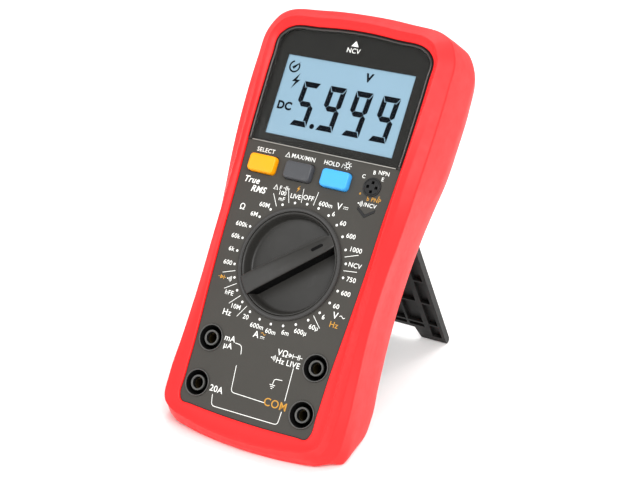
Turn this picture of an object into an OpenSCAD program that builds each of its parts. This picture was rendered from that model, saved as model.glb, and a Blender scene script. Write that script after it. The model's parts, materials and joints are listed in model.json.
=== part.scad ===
// Handheld digital multimeter in a rubber holster, leaning back on its open tilt stand.
// Millimetres, +Z up. The bench is Z = 0 and the origin is the middle of the holster's heel.
// Each piece is drawn in the meter's own axes: x to the right, y up the long side and
// z out of the face, with z = 0 on the label and the dial's centre as the origin.

/* [Stance] */
// Angle between the meter's face and the bench
lean = 56.2; // [55.6:0.1:56.8]
// Height of the dial's centre above the bench
dial_height = 66.1; // [65.9:0.1:66.6]
// How far the stand is swung out from the meter's back
stand_open = 63.3; // [61:0.1:67]

/* [Case] */
// Thickness of the case walls
case_wall = 2; // [1.6:0.1:2.2]
// Thickness of the front plate
plate_t = 2.2; // [1.8:0.1:2.4]
// Thickness of the printed label
label_t = 0.4; // [0.3:0.1:0.4]
// Depth of the seam between the case halves
seam_depth = 13; // [12.8:0.1:13.2]
// Depth of the case's back face
back_depth = 41; // [41:0.1:41.6]
// Thickness of the holster behind the case
holster_back_t = 1.2; // [1:0.1:1.3]

/* [Display] */
// Width of the visible display
window_w = 60; // [56:0.5:61]
// Height of the visible display
window_h = 34.5; // [32:0.5:35]
// Height of the display's centre above the dial's centre
window_y = 68.1; // [67.5:0.1:68.5]
// Height of the clear window's lower edge above the dial's centre
lens_edge_y = 46.7; // [46.4:0.1:47]

/* [Dial] */
// Radius of the knob
knob_r = 21.45; // [21:0.05:21.5]
// Height of the knob's grip bar above the label
bar_top = 2.8; // [2:0.1:4]
// Depth of the knob's two sunken halves below the label
dish_depth = 4; // [3:0.1:4.2]
// Direction the knob points in, counterclockwise from the right
pointer_angle = 38.57; // [0:0.01:359]
// Number of click positions round the dial
detents = 28; // [20:4:28]

/* [Buttons] */
// Width of a button at the label
button_w = 12.8; // [11:0.1:13]
// Height of a button at the label
button_h = 7.6; // [6.5:0.1:7.8]
// How far a button stands out of the label
button_out = 2.5; // [2:0.1:3]
// How far a button can be pressed
button_travel = 1.2; // [0.6:0.1:1.2]

/* [Jacks] */
// Radius of the socket that takes a 4 mm test plug
jack_r = 2; // [2:0.01:2.05]
// Distance of each jack from the middle of the meter
jack_x = 25; // [24.8:0.1:25.2]
// Distance of the upper and lower jacks below the dial's centre
jack_rows = [37, 56];

/* [Stand] */
// Width of the stand
stand_w = 62; // [56:1:62]
// Thickness of the stand
stand_t = 3.2; // [3:0.1:3.3]
// Radius of the stand's hinge pins
pin_r = 1.5; // [1.2:0.1:1.5]

/* [Hidden] */
$fn = 48;

gap = 0.05;                      // space left between pieces that sit against each other
eps = 0.5;                       // how far a cut runs past the solid it cuts
spans = 4;                       // steps between two stations of an outline
plate_top = -label_t;
plate_bottom = plate_top - plate_t;
seam_z = -seam_depth;
back_z = -back_depth;
case_lap = 2.1;                  // how far the case reaches out under the holster's lip
case_clearance = 0.1;            // between the holster and the case
lip_w = 4.2;                     // holster's lip round its open back
heel_wall = 2.8;                 // holster between the case and the bench, measured along y
bevel_z = -24;                   // where the back half starts to narrow
pcb_top = -12.6;
pcb_bottom = -14.2;
lens_top = 0.35;
lens_bottom = -1.25;
mask_t = 0.3;
rim_top = 0.5;                   // raised rim round the clear window
ring_top = 0.9;                  // raised ring round the knob
ring_r = 23.2;
well_r = knob_r + 0.1;
well_floor = -6.4;
well_bottom = well_floor - 1.6;
hub_r = 6;
hub_clearance = 0.06;
rotor_r = 18.5;
rotor_top = well_bottom - 0.15;
rotor_t = 3.05;
ball_r = 1.5;
ball_seat = 19.3;                // radius of the balls' centres
detent_r = ball_seat + ball_r + 0.03;
detent_bottom = -11.6;
button_y = 37.3;
button_xs = [-25.2, -7.8, 9.6];  // select, max/min, hold
button_flange = 0.9;
flange_z = plate_bottom - 0.15;
cap_bottom = flange_z - button_flange;
jack_places = [for (sx = [-1, 1], y = jack_rows) [sx * jack_x, -y]];
jack_tube_r = jack_r + 0.45;
jack_tube_bottom = -21.5;
sleeve_r = 5.6;
sleeve_bottom = -9.9;
hfe_place = [26, 37.6];
hfe_r = 3.9;
hfe_holes = [for (a = [0:90:270]) 1.9 * [cos(a), sin(a)]];
led_place = [26.3, 27.3];
case_screw_places = [for (sx = [-1, 1]) each [[sx * 20, 92.1], [sx * 20.6, -44]]];
screw_boss_r = 2.6;              // leaves room for the jack sleeves beside it
pcb_screw_places = [for (sx = [-1, 1]) each [[sx * 30.8, 44.4], [sx * 28.2, -19]]];
cell_r = 7.1;
cell_x = 7.4;
cell_z = -31;
bay_w = 31.2;
bay_y = [-44.4, 12.2];           // lower and upper end of the battery bay
bay_wall = 1.4;
bay_floor = -23.4;
door_lap = 1.8;
door_t = 1.35;
door_screw_place = [0, 17.2];
hinge_y = 24.5;
hinge_z = -44.4;
stand_r = stand_t / 2;
ear_x = 17.3;
ear_w = 3.6;
ear_r = 2.7;
fuse_z = -18.3;

// Half outlines from the bottom centre, up the right side, to the top centre.
// All have the same stations, so that they join into one skin.
// Edge of the opening that frames the face
opening_half = [[0, -65.8], [25.6, -65], [29.8, -64.7], [30.7, -63.8], [31.5, -55], [31.9, -40],
    [33.3, -17], [34.4, 5], [35, 25], [35.8, 40], [36.3, 50], [36.7, 66], [36.8, 84],
    [36.4, 92.2], [33, 96], [18, 98.2], [0, 99.2]];
// Crest of the lip round the opening
crest_half = [[0, -73.2, 2.4], [25.4, -70.8, 2.4], [31.5, -69.4, 2.4], [36.2, -66.4, 2.4],
    [37.7, -56, 2.4], [37.2, -40, 2.4], [36.8, -17, 2.5], [37.2, 5, 2.6], [37.4, 25, 2.7],
    [37.7, 40, 2.8], [38.1, 50, 2.8], [38.6, 66, 2.8], [39.3, 84, 2.8], [38.9, 92.8, 2.8],
    [34.8, 98.8, 2.8], [18.5, 101.4, 2.8], [0, 102.4, 2.8]];
// Foot of the steep step outside the lip
step_half = [[0, -75.2, -0.8], [26, -73, -1.6], [32.5, -71.8, -2], [37.4, -67, -3],
    [38.9, -56.5, -3], [38.4, -40, -3], [38, -17, -1.8], [38.4, 5, -0.6], [39.2, 25, 0],
    [39.6, 40, 0.4], [40.2, 50, 0.5], [41.4, 66, 0.5], [42, 84, 0.5], [41.4, 94, 0.5],
    [36.8, 100.9, 0.5], [19.4, 103.5, 0.5], [0, 104.5, 0.5]];
// Front edge of the flank
shoulder_half = [[0, -76.4, -4.6], [27.6, -74.7, -6.9], [34, -73.4, -7.4], [40.2, -69, -7.8],
    [42.2, -57, -6.4], [41.4, -40, -6], [40.4, -17, -5.2], [41, 5, -4.8], [42.6, 25, -4],
    [43.8, 40, -2.8], [44.4, 50, -2.3], [45, 66, -2], [45, 83, -2], [44.4, 94.2, -2],
    [39.4, 102.7, -2], [20.6, 106.3, -2], [0, 107.2, -2]];
// The heel, where the flank swells down to the bench
heel_half = [[0, -71.1, -12.8], [28, -71, -13], [35, -71, -13], [41.6, -70.3, -13.6],
    [42.2, -58, -13.6], [40.6, -40, -13.4], [39.2, -17, -13], [39.4, 5, -12.9], [41.4, 25, -12.4],
    [43.1, 40, -11.7], [44.2, 50, -11.4], [44.9, 66, -11.2], [45, 83.4, -11.2],
    [44.1, 95.2, -11.2], [39, 103.6, -11.2], [20.6, 106.6, -11.2], [0, 107.4, -11.2]];
// Rear edge of the flank
flank_half = [for (p = [[0, -62.7], [28, -62.7], [34, -62.7], [40, -62.1], [40.4, -56],
    [39, -40], [37.9, -17], [38, 5], [39.4, 25], [41.6, 40], [43.5, 50], [44.4, 66], [44.7, 84],
    [43.6, 96.6], [38.2, 104.6], [20.6, 107], [0, 107.6]]) [p[0], p[1], -25]];
// Edge of the holster's back
holster_back_z = back_z - holster_back_t;
back_half = [for (p = [[0, -50.8], [20, -50.8], [26, -50.8], [32, -50.1], [33.4, -46],
    [32.8, -36], [31.4, -17], [31.2, 5], [32.2, 25], [33.6, 40], [34.6, 50], [35.2, 66], [34.8, 82],
    [32.8, 91.2], [26.5, 97], [14, 99.4], [0, 100.2]]) [p[0], p[1], holster_back_z]];

// ---- helpers ----
function lerp(a, b, t) = a + (b - a) * t;
function at_z(loop, z) = [for (p = loop) [p[0], p[1], z]];
function flat(loop) = [for (p = loop) [p[0], p[1]]];
function chord(a, b) = max(norm(b - a), 0.001);
function tangent(a, b, c) = let (h = chord(a, b), k = chord(b, c))
    ((b - a) * k / h + (c - b) * h / k) / (h + k);
function bend(a, b, ta, tb, t) = (2 * t ^ 3 - 3 * t ^ 2 + 1) * a + (t ^ 3 - 2 * t ^ 2 + t) * ta
    + (3 * t ^ 2 - 2 * t ^ 3) * b + (t ^ 3 - t ^ 2) * tb;
// The full loop of a half outline
function closed(half) = concat(half, [for (i = [len(half) - 2:-1:1])
    [-half[i][0], half[i][1], half[i][2]]]);
// A smooth loop through the points of a loop
function smooth(loop) = let (m = len(loop)) [for (i = [0:m - 1], k = [0:spans - 1])
    let (a = loop[(i + m - 1) % m], b = loop[i], c = loop[(i + 1) % m], d = loop[(i + 2) % m],
        h = chord(b, c)) bend(b, c, tangent(a, b, c) * h, tangent(b, c, d) * h, k / spans)];
// A loop moved outwards in plan
function outset(loop, d) = let (m = len(loop)) [for (i = [0:m - 1])
    let (t = loop[(i + 1) % m] - loop[(i + m - 1) % m])
    loop[i] + [t[1], -t[0], 0] * d / norm([t[0], t[1]])];
// A loop drawn in towards its middle by about a distance
function shrink(loop, d) = let (ys = [for (p = loop) p[1]], mid = (max(ys) + min(ys)) / 2,
    half_w = max([for (p = loop) p[0]]), half_h = (max(ys) - min(ys)) / 2)
    [for (p = loop) [p[0] * (1 - d / half_w), mid + (p[1] - mid) * (1 - d / half_h), p[2]]];
// Where the bench lies along y, at a depth z
function bench_y(z) = (-dial_height - z * cos(lean)) / sin(lean);
// A loop whose points stay above the bench, or above a line over it
function on_bench(loop, lift = 0) = [for (p = loop) [p[0], max(p[1], bench_y(p[2]) + lift), p[2]]];

// The part of a loop that runs round the clear window
function upper(loop) = [for (p = loop) if (p[1] > 30) p];

opening = smooth(closed(at_z(opening_half, 0)));
crest = smooth(closed(crest_half));
step = smooth(closed(step_half));
shoulder = smooth(closed(shoulder_half));
flank = smooth(closed(flank_half));
heel = smooth(closed(heel_half));
back_edge = smooth(closed(back_half));
// Rounds the flank over into the back
haunch = [for (i = [0:len(flank) - 1]) let (p = lerp(flank[i], back_edge[i], 0.45))
    [p[0], p[1], lerp(flank[i][2], back_edge[i][2], 0.68)]];
case_side = outset(opening, case_lap);
case_back = shrink(back_edge, 2.3);
cavity_side = outset(opening, case_lap - case_wall);
heel_z = -23.5;
heel_y = bench_y(heel_z) * cos(lean) - heel_z * sin(lean);

// Moves a piece from the meter's own axes to its place over the bench
module meter() {
    translate([0, -heel_y, dial_height]) rotate([lean, 0, 0]) children();
}

module at(places, z = 0) {
    for (p = places) translate([p[0], p[1], z]) children();
}

// A cylinder between two depths
module rod(r, z0, z1) {
    translate([0, 0, z0]) cylinder(r = r, h = z1 - z0);
}

// A plate with the outline of a loop, between two depths
module slab(loop, z0, z1) {
    translate([0, 0, z0]) linear_extrude(z1 - z0) polygon(flat(loop));
}

module box(size, centre) {
    translate(centre) cube(size, center = true);
}

// A box between two depths
module block(w, h, z0, z1, place = [0, 0]) {
    box([w, h, z1 - z0], [place[0], place[1], (z0 + z1) / 2]);
}

// A rounded rectangle between two depths
module pad(w, h, r, z0, z1) {
    translate([0, 0, z0]) linear_extrude(z1 - z0) {
        square([w - 2 * r, h], center = true);
        square([w, h - 2 * r], center = true);
        for (sx = [-1, 1], sy = [-1, 1])
            translate([sx * (w / 2 - r), sy * (h / 2 - r)]) circle(r);
    }
}

function middle(loop) = [for (p = loop) 1] * loop / len(loop);
// Joins loops of equal length into one skin, either capped at both ends or closed on itself.
// Each four-sided patch is split along one diagonal, or along the other when turned.
module skin(loops, capped = true, turned = false) {
    n = len(loops[0]);
    m = len(loops);
    points = concat([for (l = loops) each l], [middle(loops[0]), middle(loops[m - 1])]);
    sides = [for (j = [0:m - (capped ? 2 : 1)], i = [0:n - 1])
        let (a = j * n + i, b = j * n + (i + 1) % n,
            c = ((j + 1) % m) * n + (i + 1) % n, d = ((j + 1) % m) * n + i)
        each turned ? [[a, b, d], [b, c, d]] : [[a, b, c], [a, c, d]]];
    caps = [for (i = [0:n - 1]) let (k = (i + 1) % n, last = (m - 1) * n)
        each [[n * m, k, i], [n * m + 1, last + i, last + k]]];
    polyhedron(points, capped ? concat(sides, caps) : sides);
}

// A coil of round wire along z, from z = 0
module coil(r, wire, turns, length) {
    steps = turns * 14;
    function hoop(k) = let (a = k * 360 * turns / steps, z = k * length / steps,
        out = [cos(a), sin(a), 0], ahead = [-sin(a), cos(a), length / turns / (2 * PI * r)],
        along = ahead / norm(ahead), side = cross(along, out))
        [for (q = [0:60:300]) out * r + [0, 0, z] + wire * (out * cos(q) - side * sin(q))];
    skin([for (k = [0:steps]) hoop(k)]);
}

// ---- shells ----
module holster() {
    inside = case_lap + case_clearance;
    color("#ff4040") meter() skin([
        at_z(opening, plate_top + gap),
        at_z(outset(opening, 0.15), 0.9),
        crest,
        step,
        shoulder,
        on_bench(heel),
        on_bench(flank),
        on_bench(haunch),
        on_bench(back_edge),
        shrink(back_edge, lip_w),
        at_z(shrink(back_edge, lip_w), back_z - gap),
        on_bench(at_z(outset(case_back, case_clearance), back_z - gap), heel_wall - case_clearance),
        on_bench(at_z(outset(opening, inside), bevel_z), heel_wall - case_clearance),
        at_z(outset(opening, inside), seam_z),
        at_z(outset(opening, inside), plate_top + gap)
    ], capped = false);
}

module front_case() {
    color("#4d4b48") meter() difference() {
        union() {
            difference() {
                slab(case_side, seam_z, plate_top);
                slab(cavity_side, seam_z - eps, plate_bottom);
            }
            // Raised rim round the clear window
            intersection() {
                difference() {
                    slab(upper(outset(opening, -0.2)), plate_top - eps, rim_top);
                    slab(upper(outset(opening, -1.5)), plate_top - 2 * eps, rim_top + eps);
                }
                block(90, 60, -5, 5, [0, lens_edge_y + 30]);
            }
            rod(ring_r, detent_bottom, ring_top);
            at(case_screw_places) rod(screw_boss_r, seam_z + gap, plate_bottom + eps);
            at(pcb_screw_places) rod(2.2, pcb_top + gap, plate_bottom + eps);
        }
        rod(well_r, well_floor, ring_top + eps);
        rod(hub_r + hub_clearance, detent_bottom - eps, well_floor + eps);
        // Detent ring round the rotor
        rod(detent_r, detent_bottom - eps, well_bottom);
        for (i = [0:detents - 1]) rotate(pointer_angle + i * 360 / detents)
            translate([ball_seat + 0.6, 0, 0]) rod(ball_r + 0.1, detent_bottom - eps, well_bottom);
        // Seat and opening of the clear window
        intersection() {
            slab(upper(outset(opening, -1.5)), lens_bottom - gap, rim_top + eps);
            block(90, 60, -5, 5, [0, lens_edge_y - gap + 30]);
        }
        block(67.6, 42.4, plate_bottom - eps, plate_top, [0, window_y]);
        at([for (x = button_xs) [x, button_y]])
            pad(button_w + 0.3, button_h + 0.3, 1.7, plate_bottom - eps, plate_top + eps);
        at(jack_places) rod(sleeve_r + gap, plate_bottom - eps, plate_top + eps);
        at([hfe_place]) rod(hfe_r + gap, plate_bottom - eps, plate_top + eps);
        at([led_place]) block(10, 5, plate_bottom - eps, plate_top + eps);
        at(case_screw_places) rod(1.55, seam_z - eps, -4);
        at(pcb_screw_places) rod(1.15, pcb_top - eps, -6);
    }
}

// Back half of the case with its battery bay and the ears that carry the stand
module back_case() {
    bay_mid = (bay_y[0] + bay_y[1]) / 2;
    bay_l = bay_y[1] - bay_y[0];
    inner_back = back_z + case_wall + 0.2;
    color("#4a4845") meter() difference() {
        union() {
            skin([
                on_bench(at_z(shrink(case_back, case_wall), inner_back), heel_wall + case_wall),
                on_bench(at_z(cavity_side, bevel_z), heel_wall + case_wall),
                at_z(cavity_side, seam_z - gap),
                at_z(case_side, seam_z - gap),
                on_bench(at_z(case_side, bevel_z), heel_wall),
                on_bench(at_z(case_back, back_z), heel_wall)
            ], turned = true);
            block(bay_w + 2 * bay_wall, bay_l + 2 * bay_wall, inner_back - eps,
                bay_floor + bay_wall, [0, bay_mid]);
            at(case_screw_places) rod(3.2, inner_back - eps, seam_z - gap);
            at([door_screw_place]) rod(2.6, inner_back - eps, -33);
            for (sx = [-1, 1]) translate([sx * ear_x, hinge_y, 0]) {
                translate([0, 0, hinge_z]) rotate([0, 90, 0]) cylinder(r = ear_r, h = ear_w, center = true);
                block(ear_w, 1.7 * ear_r, hinge_z, back_z + eps);
            }
        }
        block(bay_w, bay_l, back_z - eps, bay_floor, [0, bay_mid]);
        // Rebate for the battery door
        block(bay_w + 2 * door_lap + 0.2, bay_l + 2 * door_lap + 0.2, back_z - eps,
            back_z + door_t + gap, [0, bay_mid]);
        block(14.2, 8, back_z - eps, back_z + door_t + gap, [0, door_screw_place[1]]);
        at([door_screw_place]) rod(1.2, back_z - eps, -34.5);
        at(case_screw_places) {
            rod(2.8, back_z - eps, back_z + 2.1);
            rod(1.7, back_z, seam_z + eps);
        }
        for (sx = [-1, 1]) translate([sx * ear_x, hinge_y, hinge_z])
            rotate([0, 90, 0]) cylinder(r = pin_r + gap, h = ear_w + 2 * eps, center = true);
    }
}

module battery_door() {
    bay_mid = (bay_y[0] + bay_y[1]) / 2;
    bay_l = bay_y[1] - bay_y[0];
    color("#454340") meter() difference() {
        union() {
            block(bay_w + 2 * door_lap, bay_l + 2 * door_lap, back_z, back_z + door_t, [0, bay_mid]);
            block(14, 7.8, back_z, back_z + door_t, [0, door_screw_place[1]]);
            // Grip ribs
            for (i = [0:5]) block(18, 0.9, back_z - 0.5, back_z + eps, [0, -38 + i * 2.2]);
        }
        at([door_screw_place]) rod(1.35, back_z - eps, back_z + door_t + eps);
    }
}

// ---- face ----
module face_label() {
    color("#504e4b") meter() difference() {
        intersection() {
            slab(outset(opening, -0.25), plate_top + gap / 2, 0);
            block(90, 140, -1, 1, [0, lens_edge_y - 0.15 - 70]);
        }
        rod(ring_r + gap, -1, 1);
        at([for (x = button_xs) [x, button_y]]) pad(button_w + 0.5, button_h + 0.5, 1.8, -1, 1);
        at(jack_places) rod(sleeve_r + 0.1, -1, 1);
        at([hfe_place]) rod(hfe_r + 0.1, -1, 1);
        at([led_place]) chevron(0.1, -1, 1);
    }
}

// A V-shaped bar that points down, grown by a margin all round
module chevron(margin, z0, z1) {
    half_w = 3.9 + margin;
    translate([0, 0, z0]) linear_extrude(z1 - z0)
        polygon([[0, -2.3 - margin], [half_w, 0.6 - margin], [half_w, 1.7 + margin],
            [0, -1 + margin], [-half_w, 1.7 + margin], [-half_w, 0.6 - margin]]);
}

module window_lens() {
    color("#c8d8e0", 0.3) meter() intersection() {
        slab(upper(outset(opening, -1.6)), lens_bottom, lens_top);
        block(90, 60, -5, 5, [0, lens_edge_y + 30]);
    }
}

module window_mask() {
    color("#1c1c1e") meter() difference() {
        block(67.2, 42, lens_bottom - gap - mask_t, lens_bottom - gap, [0, window_y]);
        block(window_w, window_h, -3, 0, [0, window_y]);
    }
}

module lcd_glass() {
    color("#a5c6dc") meter() block(64, 39.4, -4.1, -1.75, [0, window_y]);
}

module lcd_frame() {
    color("#e8e8e4") meter() difference() {
        block(66.8, 40.8, pcb_top + gap, -1.75, [0, window_y]);
        block(64.2, 39.6, pcb_top - eps, 0, [0, window_y]);
    }
}

module backlight_guide() {
    color("#f4f6f8") meter() block(60, 32, -7.2, -4.2, [0, window_y]);
}

module zebra_strips() {
    color("#d88aa0") meter()
        for (sy = [-1, 1]) block(58, 2.2, pcb_top + gap, -4.15, [0, window_y + sy * 18]);
}

module ncv_window() {
    color("#202022") meter() at([led_place]) {
        block(9.8, 4.8, plate_bottom - 0.8, plate_top - gap);
        chevron(0, plate_top - 0.1, 0.1);
    }
}

module hfe_socket() {
    color("#2b2b2c") meter() at([hfe_place]) difference() {
        union() {
            rod(hfe_r, -8.5, 0.4);
            rod(hfe_r + 0.9, -4.4, plate_bottom - gap);
        }
        at(hfe_holes) block(1.2, 1.2, -9, 1);
        difference() {
            rod(3.5, 0.1, 1);
            rod(3.1, 0, 1.5);
        }
    }
}

module hfe_contacts() {
    color("#d0b050") meter() at([hfe_place]) at(hfe_holes) block(0.8, 0.8, pcb_top + gap, -3);
}

// Insulating cups: a ring round an annular well, and a tube round the contact
module jack_sleeves() {
    color("#3c3b3a") meter() at(jack_places) difference() {
        rod(sleeve_r, sleeve_bottom, 0.5);
        difference() {
            rod(4.5, -8.5, 1);
            rod(2.95, -9, 1.5);
        }
        rod(jack_r + 0.1, sleeve_bottom - eps, 1);
        rod(jack_tube_r + gap, sleeve_bottom - eps, -2);
        // Chamfer at the mouth
        translate([0, 0, -0.1]) cylinder(r1 = jack_r + 0.1, r2 = 2.7, h = 0.61);
    }
}

module jack_contacts() {
    color("#c9a648") meter() at(jack_places) difference() {
        union() {
            rod(jack_tube_r, jack_tube_bottom, -2.1);
            rod(4, pcb_top + gap, pcb_top + 1.3);
        }
        rod(jack_r, jack_tube_bottom - eps, 0);
    }
}

// ---- selector ----
module knob() {
    bar_l = 2 * knob_r;
    tail_w = 8.1;
    neck_w = 7;
    neck_x = 17.4;                   // where the bar starts to slope down to its tip
    tip_w = 4.8;
    dish_r = 18.9;
    color("#3d3d3e") meter() rotate(pointer_angle) difference() {
        union() {
            difference() {
                rod(knob_r, well_floor + 0.5, 0.8);
                // Dish with a sloping wall
                rotate_extrude() polygon([[0, -dish_depth], [dish_r, -dish_depth],
                    [dish_r + 0.8, -dish_depth + 0.5], [20.3, 0.3], [20.6, 1], [0, 1]]);
            }
            // Tapered grip bar
            intersection() {
                rod(knob_r, -dish_depth - eps, bar_top);
                translate([0, 0, -dish_depth - eps]) linear_extrude(bar_top + dish_depth + eps)
                    polygon([[-bar_l / 2, -tail_w / 2], [neck_x, -neck_w / 2], [bar_l / 2, -tip_w / 2],
                        [bar_l / 2, tip_w / 2], [neck_x, neck_w / 2], [-bar_l / 2, tail_w / 2]]);
            }
            rod(hub_r, -12, -dish_depth);
        }
        // Slopes at the bar's two ends, and the pointer's slot
        translate([neck_x, 0, bar_top]) rotate([0, 26, 0]) box([12, 12, 3], [6, 0, 1.5]);
        translate([-neck_x, 0, bar_top]) rotate([0, -10, 0]) box([12, 12, 3], [-6, 0, 1.5]);
        box([5.4, 1.3, 1], [14.3, 0, bar_top]);
    }
}

module rotor() {
    color("#d9d6cc") meter() rotate(pointer_angle) difference() {
        rod(rotor_r, rotor_top - rotor_t, rotor_top);
        rod(hub_r + 0.04, -13, -7);
        for (a = [0, 180]) rotate(a) translate([0, 0, rotor_top - rotor_t / 2])
            rotate([0, 90, 0]) translate([0, 0, 11]) cylinder(r = 1.3, h = 9);
        for (a = [0, 180]) rotate(a) translate([17, 0, rotor_top - rotor_t / 2])
            rotate([0, 90, 0]) cylinder(r = ball_r + gap, h = 3);
    }
}

module rotor_clip() {
    color("silver") meter() difference() {
        rod(8, -11.75, -11.25);
        rod(hub_r + gap, -13, -10);
        block(20, 6, -13, -10, [10, 0]);
    }
}

// Three sprung strips under the rotor, each with two tips that slide on the board
module wiper_contacts() {
    color("#d8b860") meter() rotate(pointer_angle) for (a = [60:120:300]) rotate(a) {
        box([3, 7, 0.3], [13.5, 0, -11.4]);
        for (r = [12.6, 14.4]) {
            box([0.8, 7, 0.25], [r, 5, -11.5]);
            translate([r, 8, -12.05]) rotate([0, 90, 0]) cylinder(r = 0.45, h = 0.8, center = true);
            box([0.8, 0.6, 0.5], [r, 8, -11.75]);
        }
    }
}

module detent_balls() {
    color("silver") meter() rotate(pointer_angle) for (sx = [-1, 1])
        translate([sx * ball_seat, 0, rotor_top - rotor_t / 2]) sphere(r = ball_r);
}

module detent_springs() {
    color("silver") meter() rotate(pointer_angle) for (a = [0, 180]) rotate(a)
        translate([11.3, 0, rotor_top - rotor_t / 2]) rotate([0, 90, 0]) coil(0.85, 0.2, 5, 6.2);
}

// ---- buttons ----
module button_cap(x) {
    meter() translate([x, button_y, 0]) {
        pad(button_w + 1.6, button_h + 1.6, 1.4, cap_bottom, flange_z);
        pad(button_w, button_h, 1.5, flange_z - gap, button_out - 0.7);
        hull() {
            pad(button_w, button_h, 1.5, button_out - 0.8, button_out - 0.7);
            pad(button_w - 1, button_h - 1, 1.4, button_out - 0.1, button_out);
        }
    }
}

module plunger(x) {
    color("#1e1e20") meter() translate([x, button_y, 0]) rod(1.6, -9.6, cap_bottom - gap);
}

module select_button() { color("#f8b818") button_cap(button_xs[0]); }
module max_min_button() { color("#5e6066") button_cap(button_xs[1]); }
module hold_button() { color("#5ab4f0") button_cap(button_xs[2]); }
module select_plunger() { plunger(button_xs[0]); }
module max_min_plunger() { plunger(button_xs[1]); }
module hold_plunger() { plunger(button_xs[2]); }

module push_switches() {
    color("#222224") meter() for (x = button_xs) difference() {
        block(6, 6, pcb_top + gap, -8.3, [x, button_y]);
        translate([x, button_y, 0]) rod(1.65, -11, -8);
    }
}

// ---- circuit board ----
module main_pcb() {
    color("#2f6b3c") meter() difference() {
        slab(shrink(opening, 1.2), pcb_bottom, pcb_top);
        at(jack_places) rod(jack_tube_r + gap, -20, -10);
        at(case_screw_places) rod(3.4, -20, -10);
        at(pcb_screw_places) rod(1.2, -20, -10);
        rod(2.5, -20, -10);
    }
}

// A flat chip with leads on two sides, below the board
module chip(w, h, leads, pitch) {
    top = pcb_bottom - 0.15;
    block(w, h, top - 1.6, top);
    for (i = [0:leads - 1], s = [-1, 1])
        box([0.4, 1.2, 0.2], [(i - (leads - 1) / 2) * pitch, s * (h / 2 + 0.6), top - 0.1]);
}

module measuring_chip() {
    color("#1a1a1c") meter() translate([-8, 62, 0]) chip(14, 14, 16, 0.8);
}

module small_chips() {
    color("#1a1a1c") meter() {
        translate([14, 48, 0]) chip(5, 4, 4, 1.27);
        translate([-22, 30, 0]) chip(5, 4, 4, 1.27);
        translate([-24, 44, 0]) chip(9, 4, 7, 1.27);
    }
}

module crystal() {
    color("silver") meter() translate([8, 60, 0]) pad(10.8, 4.4, 2.1, -17.8, pcb_bottom - gap);
}

module electrolytic_caps() {
    color("#26344f") meter() at([[24, 56], [24, 46]]) rod(3.1, -21.5, pcb_bottom - gap);
}

module thermistors() {
    color("#b5722e") meter() at([[21, -22], [26, -8]])
        translate([0, 0, -19]) rotate([90, 0, 0]) cylinder(r = 4.2, h = 3, center = true);
}

module trimmer() {
    color("#2a62a8") meter() difference() {
        block(4.8, 4.8, -17.4, pcb_bottom - gap, [-24, 58]);
        translate([-24, 58, 0]) rod(1.3, -18, -16.6);
    }
}

module buzzer() {
    color("#202022") meter() translate([17, 76, 0]) difference() {
        rod(9, -19.5, pcb_bottom - gap);
        rod(1.2, -20, -18.6);
    }
}

module ncv_antenna() {
    color("#b87838") meter() block(24, 4, pcb_top + gap, pcb_top + 0.4, [0, 93]);
}

module indicator_led() {
    color("#d04030") meter() at([led_place]) {
        rod(1.5, pcb_top + gap, -5.5);
        translate([0, 0, -5.5]) sphere(r = 1.5);
    }
}

module fuse(r, length, y) {
    meter() translate([0, y, fuse_z]) rotate([0, 90, 0]) {
        cylinder(r = r - 0.15, h = length - 2, center = true);
        for (s = [-1, 1]) translate([0, 0, s * (length / 2 - 3)]) cylinder(r = r, h = 6, center = true);
    }
}

module fuse_20a() { color("#e4e0d4") fuse(3.15, 32, -52); }
module fuse_ma() { color("#d4dce0") fuse(2.6, 20, -58.6); }

// Open clips that hold the fuses' end caps off the board
module fuse_clips() {
    color("#c8c4bc") meter() for (f = [[-52, 3.15, 13], [-58.6, 2.6, 7]], s = [-1, 1])
        difference() {
            block(4, 2 * f[1] + 0.9, fuse_z - 1, pcb_bottom - gap, [s * f[2], f[0]]);
            translate([s * f[2], f[0], fuse_z]) rotate([0, 90, 0])
                cylinder(r = f[1] + 0.04, h = 6, center = true);
        }
}

// A thick wire arch that carries the high current
module current_shunt() {
    color("#a8885c") meter() translate([0, -48, pcb_top + gap]) rotate([90, 0, 0])
        rotate_extrude(angle = 180) translate([6.6, 0]) circle(0.9);
}

module screw(r, head_r, head_h, length) {
    difference() {
        union() {
            rod(r, -eps, length);
            rod(head_r, -head_h, 0);
        }
        for (a = [0, 90]) rotate(a) box([1.2 * head_r, 0.7, 2], [0, 0, -head_h]);
    }
}

module case_screws() {
    color("#b8bcc0") meter() at(case_screw_places, back_z + 2.05) screw(1.5, 2.6, 1.9, 32.5);
}

module pcb_screws() {
    color("#b8bcc0") meter() at(pcb_screw_places, pcb_bottom - gap) screw(1.1, 2, 1.3, 6);
}

module door_screw() {
    color("#b8bcc0") meter() at([door_screw_place], back_z - gap) screw(1.15, 2.3, 0.9, 6);
}

// ---- battery bay ----
module batteries() {
    color("#3f4a52") meter() for (s = [-1, 1]) translate([s * cell_x, -16, cell_z])
        rotate([s * 90, 0, 0]) {
            cylinder(r = cell_r, h = 49.2, center = true);
            rod(2.7, 24, 25.4);
        }
}

module battery_springs() {
    color("silver") meter() for (s = [-1, 1])
        translate([s * cell_x, -16 + s * 25.1, cell_z]) rotate([-s * 90, 0, 0]) coil(4, 0.4, 2, 2.6);
}

module battery_contacts() {
    color("#c8c4bc") meter() for (s = [-1, 1])
        box([10, 0.4, 9], [s * cell_x, -16 - s * 26 - (s > 0 ? 0.9 : -0.9), cell_z]);
}

// Two leads, each a straight run up from the bay and an elbow into the board
module battery_leads() {
    color("#b02820") meter() for (s = [-1, 1]) translate([s * 12, 18.5, -18.6]) {
        rotate([0, 90, 180]) rotate_extrude(angle = 90) translate([2.5, 0]) circle(0.6);
        rod(0.6, 0, 18.6 + pcb_bottom - gap);
    }
}

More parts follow.
